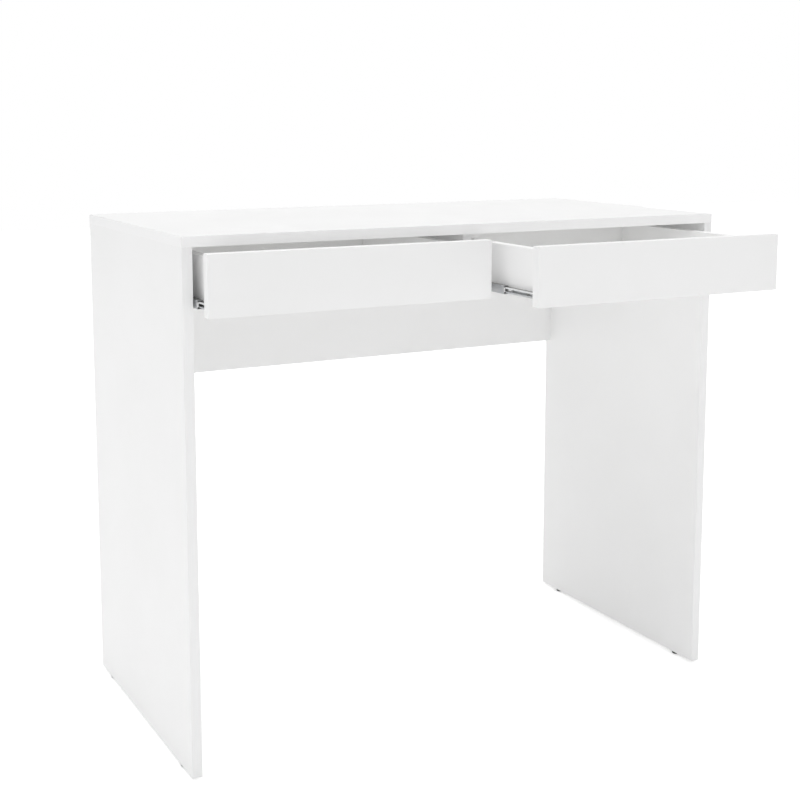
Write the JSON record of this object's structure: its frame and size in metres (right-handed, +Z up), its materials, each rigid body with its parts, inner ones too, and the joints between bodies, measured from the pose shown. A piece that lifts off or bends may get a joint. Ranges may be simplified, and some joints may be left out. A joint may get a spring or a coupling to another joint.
{
  "type": "writing desk with drawers",
  "caption": "White panel writing desk with two slab sides, a short back panel and inset handleless drawers on telescopic ball-bearing slides.",
  "frame": {"origin": "on the floor, under the middle of the box that the desk fills at rest, with the left drawer 53 mm and the right drawer 170 mm open", "axes": "+X to the right of a person who sits at the desk, along its width; +Y from the sitter towards the back; +Z up"},
  "size_m": [0.9, 0.62, 0.762],
  "materials": {
    "white_board": "white melamine-faced particleboard, satin, with matching edge band",
    "white_hardboard": "white-faced 3 mm hardboard, satin",
    "zinc_steel": "bright zinc-plated cold-rolled steel",
    "zinc_cast": "die-cast zinc, dull",
    "cage_nylon": "natural nylon ball retainer",
    "glide_plastic": "black moulded plastic glide"
  },
  "bodies": {
    "desk": {"top_panel": "white_board", "left_side_panel": "white_board", "right_side_panel": "white_board", "modesty_panel": "white_board", "centre_divider": "white_board", "left_front_glide": "glide_plastic", "left_rear_glide": "glide_plastic", "right_front_glide": "glide_plastic", "right_rear_glide": "glide_plastic", "left_top_front_cam": "zinc_cast", "left_top_rear_cam": "zinc_cast", "right_top_front_cam": "zinc_cast", "right_top_rear_cam": "zinc_cast", "left_modesty_lower_cam": "zinc_cast", "left_modesty_upper_cam": "zinc_cast", "right_modesty_lower_cam": "zinc_cast", "right_modesty_upper_cam": "zinc_cast", "divider_top_cam": "zinc_cast", "divider_modesty_cam": "zinc_cast", "left_top_front_bolt": "zinc_steel", "left_top_rear_bolt": "zinc_steel", "right_top_front_bolt": "zinc_steel", "right_top_rear_bolt": "zinc_steel", "left_modesty_lower_bolt": "zinc_steel", "left_modesty_upper_bolt": "zinc_steel", "right_modesty_lower_bolt": "zinc_steel", "right_modesty_upper_bolt": "zinc_steel", "divider_top_bolt": "zinc_steel", "divider_modesty_bolt": "zinc_steel", "left_wall_slide_outer_rail": "zinc_steel", "left_divider_slide_outer_rail": "zinc_steel", "right_wall_slide_outer_rail": "zinc_steel", "right_divider_slide_outer_rail": "zinc_steel"},
    "left_drawer": {"left_drawer_front": "white_board", "left_drawer_left_side": "white_board", "left_drawer_right_side": "white_board", "left_drawer_back": "white_board", "left_drawer_bottom": "white_hardboard", "left_wall_slide_inner_rail": "zinc_steel", "left_divider_slide_inner_rail": "zinc_steel"},
    "left_middle_rails": {"left_wall_slide_middle_rail": "zinc_steel", "left_divider_slide_middle_rail": "zinc_steel"},
    "left_outer_cages": {"left_wall_slide_outer_cage": "cage_nylon", "left_divider_slide_outer_cage": "cage_nylon"},
    "left_inner_cages": {"left_wall_slide_inner_cage": "cage_nylon", "left_divider_slide_inner_cage": "cage_nylon"},
    "right_drawer": {"right_drawer_front": "white_board", "right_drawer_left_side": "white_board", "right_drawer_right_side": "white_board", "right_drawer_back": "white_board", "right_drawer_bottom": "white_hardboard", "right_wall_slide_inner_rail": "zinc_steel", "right_divider_slide_inner_rail": "zinc_steel"},
    "right_middle_rails": {"right_wall_slide_middle_rail": "zinc_steel", "right_divider_slide_middle_rail": "zinc_steel"},
    "right_outer_cages": {"right_wall_slide_outer_cage": "cage_nylon", "right_divider_slide_outer_cage": "cage_nylon"},
    "right_inner_cages": {"right_wall_slide_inner_cage": "cage_nylon", "right_divider_slide_inner_cage": "cage_nylon"}
  },
  "joints": [
    {"name": "left_drawer_slide", "type": "slide", "parent": "desk", "child": "left_drawer", "axis": [0, -1, 0], "range_m": [-0.053, 0.297]},
    {"name": "left_middle_rail_slide", "type": "slide", "parent": "desk", "child": "left_middle_rails", "axis": [0, -1, 0], "range_m": [-0.0265, 0.1485]},
    {"name": "left_outer_cage_slide", "type": "slide", "parent": "desk", "child": "left_outer_cages", "axis": [0, -1, 0], "range_m": [-0.01325, 0.07425]},
    {"name": "left_inner_cage_slide", "type": "slide", "parent": "desk", "child": "left_inner_cages", "axis": [0, -1, 0], "range_m": [-0.03975, 0.22275]},
    {"name": "right_drawer_slide", "type": "slide", "parent": "desk", "child": "right_drawer", "axis": [0, -1, 0], "range_m": [-0.17, 0.18]},
    {"name": "right_middle_rail_slide", "type": "slide", "parent": "desk", "child": "right_middle_rails", "axis": [0, -1, 0], "range_m": [-0.085, 0.09]},
    {"name": "right_outer_cage_slide", "type": "slide", "parent": "desk", "child": "right_outer_cages", "axis": [0, -1, 0], "range_m": [-0.0425, 0.045]},
    {"name": "right_inner_cage_slide", "type": "slide", "parent": "desk", "child": "right_inner_cages", "axis": [0, -1, 0], "range_m": [-0.1275, 0.135]}
  ],
  "couplings": [
    {"joint": "left_middle_rail_slide", "follows": "left_drawer_slide", "ratio": 0.5},
    {"joint": "left_outer_cage_slide", "follows": "left_drawer_slide", "ratio": 0.25},
    {"joint": "left_inner_cage_slide", "follows": "left_drawer_slide", "ratio": 0.75},
    {"joint": "right_middle_rail_slide", "follows": "right_drawer_slide", "ratio": 0.5},
    {"joint": "right_outer_cage_slide", "follows": "right_drawer_slide", "ratio": 0.25},
    {"joint": "right_inner_cage_slide", "follows": "right_drawer_slide", "ratio": 0.75}
  ]
}
